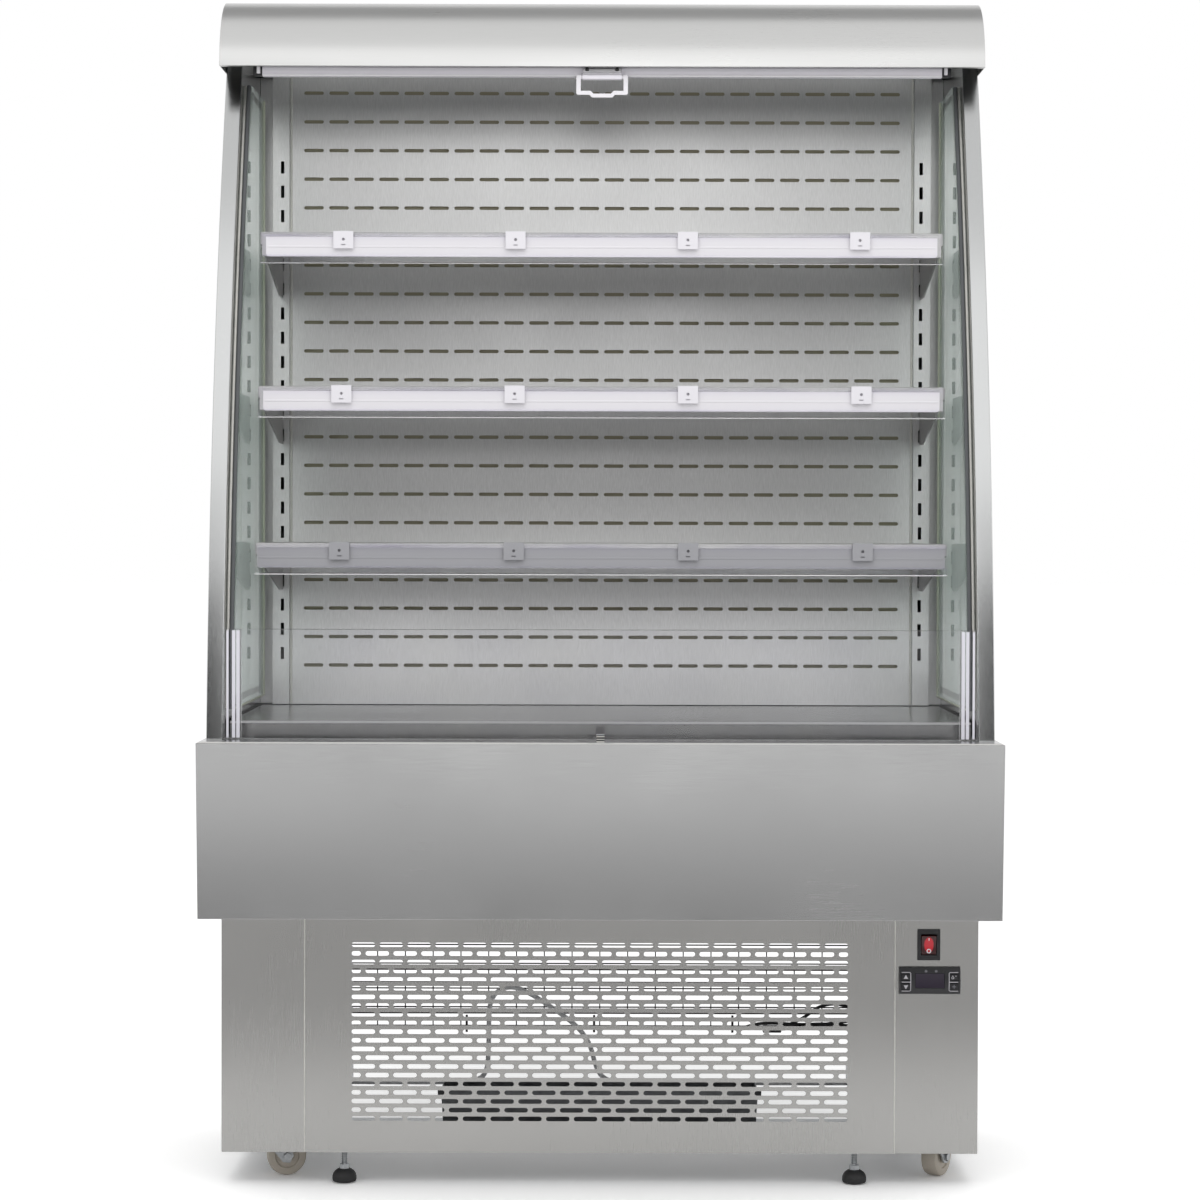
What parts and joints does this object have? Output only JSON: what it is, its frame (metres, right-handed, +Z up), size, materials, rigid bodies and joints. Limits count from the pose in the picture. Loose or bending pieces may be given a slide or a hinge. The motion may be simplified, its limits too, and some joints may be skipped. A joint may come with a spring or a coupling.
{
  "type": "open multideck display fridge",
  "caption": "Open-fronted refrigerated display case with hook-in shelves, glazed end frames, a pull-down night blind, a slotted machine base, castors and levelling feet.",
  "frame": {"origin": "centre of the footprint, on the floor that the castors and feet stand on", "axes": "+Z up, +X to the right seen from the open front, +Y towards the insulated back"},
  "size_m": [0.958, 0.64, 1.5],
  "materials": {
    "steel": "satin",
    "side_glass": "gloss",
    "clear_plastic": "gloss",
    "zinc": "satin",
    "aluminium": "satin",
    "black_paint": "satin",
    "black_plastic": "satin",
    "red_plastic": "gloss",
    "nylon": "satin",
    "foot_black": "matte",
    "white_plastic": "satin",
    "blind": "matte"
  },
  "bodies": {
    "cabinet": {"end_frame_right": "steel", "end_frame_left": "steel", "tub": "steel", "apron": "steel", "deck_pan": "steel", "catch_hook": "steel", "rear_panel": "steel", "wall_panel": "steel", "upright_right": "steel", "upright_left": "steel", "roof_panel": "steel", "ceiling_sheet": "steel", "canopy_hood": "steel", "shelf_upper": "steel", "shelf_middle": "steel", "shelf_lower": "steel", "grille_panel": "steel", "base_side_right": "steel", "base_side_left": "steel", "side_glass_right": "side_glass", "side_glass_left": "side_glass", "clear_pane": "clear_plastic", "label_strip_upper": "clear_plastic", "label_strip_middle": "clear_plastic", "label_strip_lower": "clear_plastic", "base_frame": "zinc", "rear_wire_guard": "zinc", "evaporation_tray": "zinc", "condenser_shroud": "zinc", "refrigerant_tube": "zinc", "air_outlet": "aluminium", "condenser_coil": "aluminium", "evaporator_coil": "aluminium", "evaporator_fan_plate": "aluminium", "compressor": "black_paint", "drain_spout": "black_plastic", "switch_bezel": "black_plastic", "controller_case": "black_plastic", "blind_cloth": "blind"},
    "castor_front_left": {"castor_fork_front_left": "zinc"},
    "wheel_front_left": {"castor_wheel_front_left": "nylon"},
    "castor_front_right": {"castor_fork_front_right": "zinc"},
    "wheel_front_right": {"castor_wheel_front_right": "nylon"},
    "castor_rear_left": {"castor_fork_rear_left": "zinc"},
    "wheel_rear_left": {"castor_wheel_rear_left": "nylon"},
    "castor_rear_right": {"castor_fork_rear_right": "zinc"},
    "wheel_rear_right": {"castor_wheel_rear_right": "nylon"},
    "foot_right": {"levelling_foot_right": "foot_black"},
    "foot_left": {"levelling_foot_left": "foot_black"},
    "power_rocker": {"power_rocker": "red_plastic"},
    "key_up": {"key_up": "black_plastic"},
    "key_down": {"key_down": "black_plastic"},
    "key_set": {"key_set": "black_plastic"},
    "key_defrost": {"key_defrost": "black_plastic"},
    "blind_bar": {"blind_bar": "white_plastic"},
    "pull_handle": {"pull_handle": "white_plastic"},
    "blind_roller": {"blind_roller": "blind"},
    "condenser_fan": {"condenser_fan": "black_plastic"},
    "evaporator_fan_right": {"evaporator_fan_right": "black_plastic"},
    "evaporator_fan_left": {"evaporator_fan_left": "black_plastic"}
  },
  "joints": [
    {"name": "swivel_front_left", "type": "hinge", "parent": "cabinet", "child": "castor_front_left", "pos_m": [-0.42, -0.014, 0.06], "axis": [0, 0, 1], "continuous": true},
    {"name": "roll_front_left", "type": "hinge", "parent": "castor_front_left", "child": "wheel_front_left", "pos_m": [-0.40239, -0.01026, 0.025], "axis": [-0.2079, 0.9781, 0], "continuous": true},
    {"name": "swivel_front_right", "type": "hinge", "parent": "cabinet", "child": "castor_front_right", "pos_m": [0.424, -0.022, 0.06], "axis": [0, 0, 1], "continuous": true},
    {"name": "roll_front_right", "type": "hinge", "parent": "castor_front_right", "child": "wheel_front_right", "pos_m": [0.43354, -0.00673, 0.025], "axis": [-0.848, 0.5299, 0], "continuous": true},
    {"name": "swivel_rear_left", "type": "hinge", "parent": "cabinet", "child": "castor_rear_left", "pos_m": [-0.42, 0.262, 0.06], "axis": [0, 0, 1], "continuous": true},
    {"name": "roll_rear_left", "type": "hinge", "parent": "castor_rear_left", "child": "wheel_rear_left", "pos_m": [-0.40441, 0.271, 0.025], "axis": [-0.5, 0.866, 0], "continuous": true},
    {"name": "swivel_rear_right", "type": "hinge", "parent": "cabinet", "child": "castor_rear_right", "pos_m": [0.424, 0.262, 0.06], "axis": [0, 0, 1], "continuous": true},
    {"name": "roll_rear_right", "type": "hinge", "parent": "castor_rear_right", "child": "wheel_rear_right", "pos_m": [0.43779, 0.27357, 0.025], "axis": [-0.6428, 0.766, 0], "continuous": true},
    {"name": "foot_screw_right", "type": "slide", "parent": "cabinet", "child": "foot_right", "axis": [0, 0, 1], "range_m": [-0.005, 0.012]},
    {"name": "foot_screw_left", "type": "slide", "parent": "cabinet", "child": "foot_left", "axis": [0, 0, 1], "range_m": [-0.005, 0.012]},
    {"name": "power_switch", "type": "hinge", "parent": "cabinet", "child": "power_rocker", "pos_m": [0.4148, -0.0816, 0.307], "axis": [-1, 0, 0], "range_deg": [0, 14]},
    {"name": "press_up", "type": "slide", "parent": "cabinet", "child": "key_up", "axis": [0, 1, 0], "range_m": [0, 0.0008], "stiffness_N_per_m": 800},
    {"name": "press_down", "type": "slide", "parent": "cabinet", "child": "key_down", "axis": [0, 1, 0], "range_m": [0, 0.0008], "stiffness_N_per_m": 800},
    {"name": "press_set", "type": "slide", "parent": "cabinet", "child": "key_set", "axis": [0, 1, 0], "range_m": [0, 0.0008], "stiffness_N_per_m": 800},
    {"name": "press_defrost", "type": "slide", "parent": "cabinet", "child": "key_defrost", "axis": [0, 1, 0], "range_m": [0, 0.0008], "stiffness_N_per_m": 800},
    {"name": "blind_slide", "type": "slide", "parent": "cabinet", "child": "blind_bar", "axis": [0, -0.2733, -0.9619], "range_m": [0, 0.8233], "stiffness_N_per_m": 15, "springref_m": -0.6, "deforming": ["blind_cloth"]},
    {"name": "handle_swing", "type": "hinge", "parent": "blind_bar", "child": "pull_handle", "pos_m": [0, -0.0805, 1.3965], "axis": [1, 0, 0], "range_deg": [-90, 0]},
    {"name": "roller_turn", "type": "hinge", "parent": "cabinet", "child": "blind_roller", "pos_m": [0, -0.047, 1.449], "axis": [1, 0, 0], "range_deg": [0, 2250]},
    {"name": "condenser_fan_spin", "type": "hinge", "parent": "cabinet", "child": "condenser_fan", "pos_m": [0.401, 0.126, 0.206], "axis": [1, 0, 0], "continuous": true},
    {"name": "evaporator_fan_right_spin", "type": "hinge", "parent": "cabinet", "child": "evaporator_fan_right", "pos_m": [0.19, -0.158, 0.484], "axis": [0, 1, 0], "continuous": true},
    {"name": "evaporator_fan_left_spin", "type": "hinge", "parent": "cabinet", "child": "evaporator_fan_left", "pos_m": [-0.19, -0.158, 0.484], "axis": [0, 1, 0], "continuous": true}
  ],
  "couplings": [
    {"joint": "roller_turn", "follows": "blind_slide", "rad_per_m": 47.62}
  ]
}
